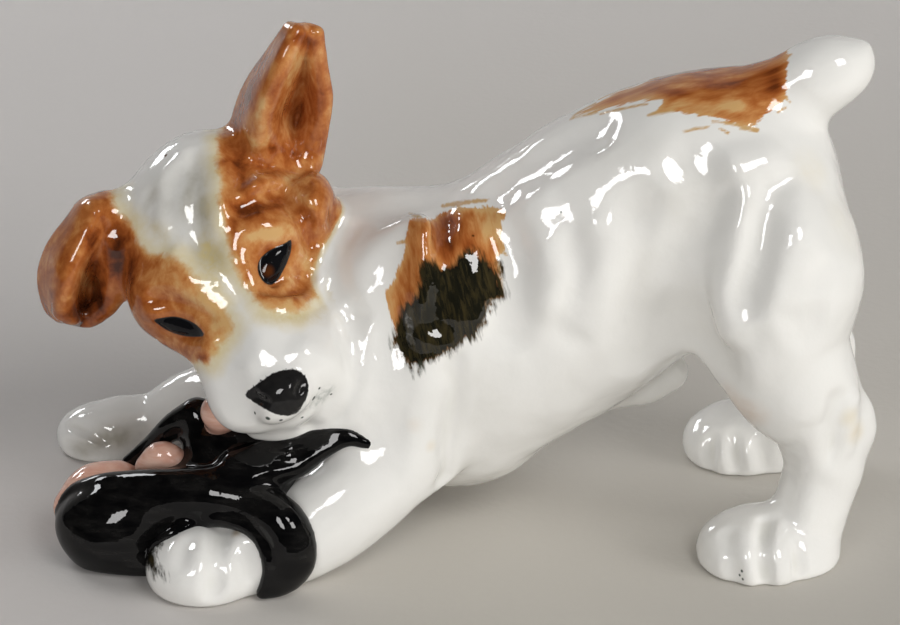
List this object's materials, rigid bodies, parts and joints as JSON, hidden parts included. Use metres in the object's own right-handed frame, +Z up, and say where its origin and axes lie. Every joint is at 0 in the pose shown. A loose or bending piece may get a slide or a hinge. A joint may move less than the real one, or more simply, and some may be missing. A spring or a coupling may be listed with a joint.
{
  "type": "china dog figurine",
  "caption": "Glazed china figurine of a terrier puppy in a play bow, rump up and head turned to its left, chewing a slipper held between its forepaws.",
  "frame": {"origin": "middle of the bounding box in plan, on the plane the paws stand on", "axes": "+X from head to tail, +Y towards the dog's right side, away from the turned face, +Z up"},
  "size_m": [0.122, 0.059, 0.0764],
  "materials": {
    "china": "clear gloss glaze over white china, with brown and black brush-painted markings",
    "slipper_black": "clear gloss glaze over brushed black",
    "slipper_pink": "clear gloss glaze over a thin pink wash"
  },
  "bodies": {
    "root": {"torso": "china", "head": "china", "left_ear": "china", "right_ear": "china", "left_foreleg": "china", "right_foreleg": "china", "left_hind_leg": "china", "right_hind_leg": "china", "tail": "china", "slipper_upper": "slipper_black", "slipper_lining": "slipper_pink"}
  },
  "joints": []
}
